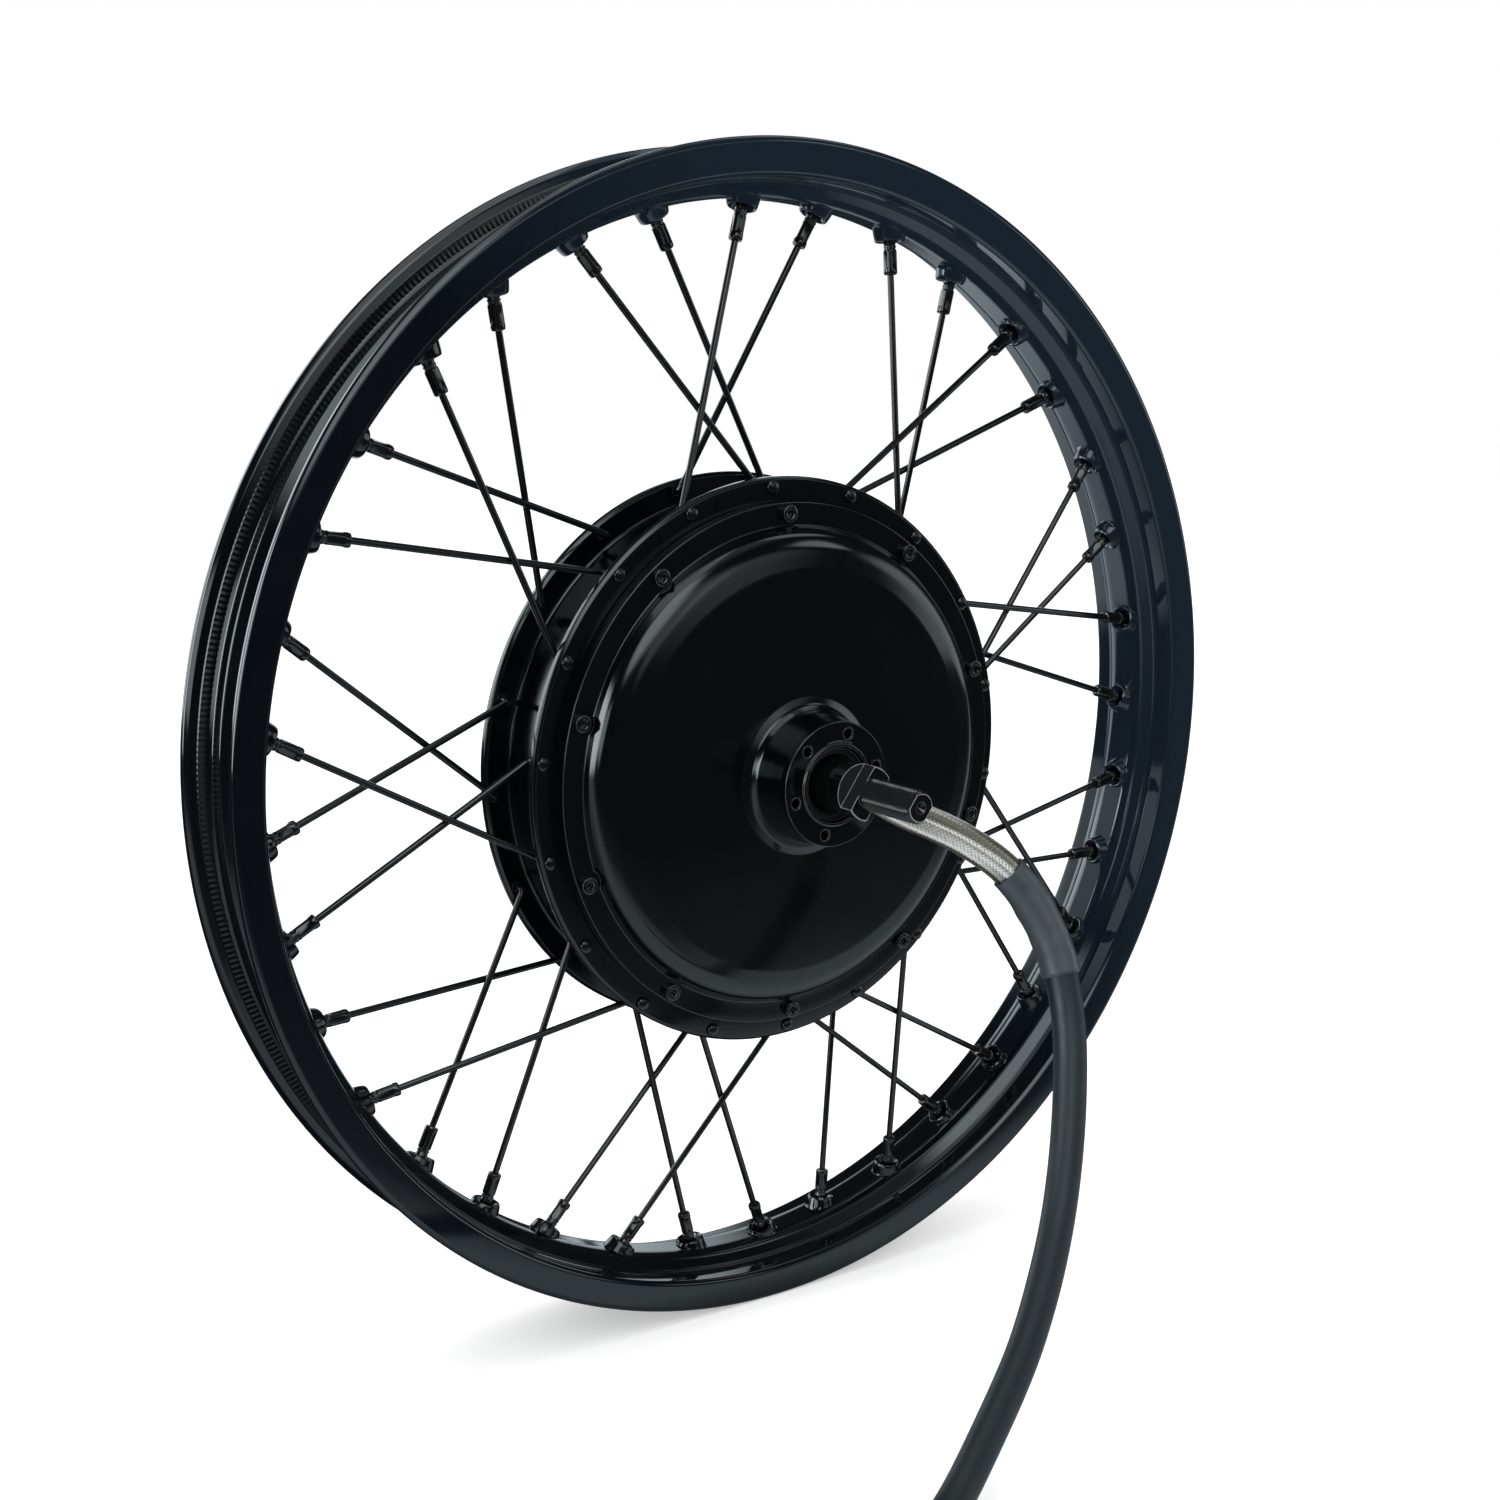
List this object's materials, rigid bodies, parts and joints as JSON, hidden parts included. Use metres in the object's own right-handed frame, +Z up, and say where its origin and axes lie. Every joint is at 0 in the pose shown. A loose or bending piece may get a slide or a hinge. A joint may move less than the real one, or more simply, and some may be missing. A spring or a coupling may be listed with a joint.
{
  "type": "hub motor wheel",
  "caption": "Spoked motorcycle-type wheel rim laced to a direct-drive hub motor, with a fixed flatted axle and a power cable in a braided sleeve.",
  "frame": {"origin": "centre of the wheel, on the axle, midway between the rim edges", "axes": "+Y along the axle away from the cable side; +Z up; +X to the right when looking along +Y"},
  "size_m": [0.511, 0.3763, 0.511],
  "materials": {
    "rim_black": "gloss",
    "hub_black": "satin",
    "black_oxide": "satin",
    "steel": "polished",
    "rubber": "matte",
    "lamination": "satin",
    "copper": "gloss",
    "magnet": "polished",
    "aluminium": "satin",
    "braid": "satin",
    "shrink": "matte",
    "jacket": "matte"
  },
  "bodies": {
    "axle_assembly": {"axle": "black_oxide", "stator_carrier": "aluminium", "stator_core": "lamination", "stator_windings": "copper", "cable_side_bearing_inner": "steel", "far_side_bearing_inner": "steel", "braided_sleeve": "braid", "heat_shrink": "shrink", "cable_jacket": "jacket"},
    "wheel": {"rim": "rim_black", "nipple_set": "black_oxide", "spoke_01": "black_oxide", "spoke_02": "black_oxide", "spoke_03": "black_oxide", "spoke_04": "black_oxide", "spoke_05": "black_oxide", "spoke_06": "black_oxide", "spoke_07": "black_oxide", "spoke_08": "black_oxide", "spoke_09": "black_oxide", "spoke_10": "black_oxide", "spoke_11": "black_oxide", "spoke_12": "black_oxide", "spoke_13": "black_oxide", "spoke_14": "black_oxide", "spoke_15": "black_oxide", "spoke_16": "black_oxide", "spoke_17": "black_oxide", "spoke_18": "black_oxide", "spoke_19": "black_oxide", "spoke_20": "black_oxide", "spoke_21": "black_oxide", "spoke_22": "black_oxide", "spoke_23": "black_oxide", "spoke_24": "black_oxide", "spoke_25": "black_oxide", "spoke_26": "black_oxide", "spoke_27": "black_oxide", "spoke_28": "black_oxide", "spoke_29": "black_oxide", "spoke_30": "black_oxide", "spoke_31": "black_oxide", "spoke_32": "black_oxide", "spoke_33": "black_oxide", "spoke_34": "black_oxide", "spoke_35": "black_oxide", "spoke_36": "black_oxide", "hub_shell": "hub_black", "cable_side_cover": "hub_black", "cable_side_cover_screws": "black_oxide", "cable_side_bearing_outer": "steel", "cable_side_seal": "rubber", "far_side_cover": "hub_black", "far_side_cover_screws": "black_oxide", "far_side_bearing_outer": "steel", "far_side_seal": "rubber", "back_iron": "lamination", "magnet_ring": "magnet"},
    "cable_side_cage": {"cable_side_bearing_balls": "steel"},
    "far_side_cage": {"far_side_bearing_balls": "steel"}
  },
  "joints": [
    {"name": "wheel_spin", "type": "hinge", "parent": "axle_assembly", "child": "wheel", "pos_m": [0, 0, 0], "axis": [0, 1, 0], "continuous": true},
    {"name": "cable_side_cage_spin", "type": "hinge", "parent": "axle_assembly", "child": "cable_side_cage", "pos_m": [0, -0.042, 0], "axis": [0, 1, 0], "continuous": true},
    {"name": "far_side_cage_spin", "type": "hinge", "parent": "axle_assembly", "child": "far_side_cage", "pos_m": [0, 0.042, 0], "axis": [0, 1, 0], "continuous": true}
  ],
  "couplings": [
    {"joint": "cable_side_cage_spin", "follows": "wheel_spin", "ratio": 0.589},
    {"joint": "far_side_cage_spin", "follows": "wheel_spin", "ratio": 0.589}
  ]
}
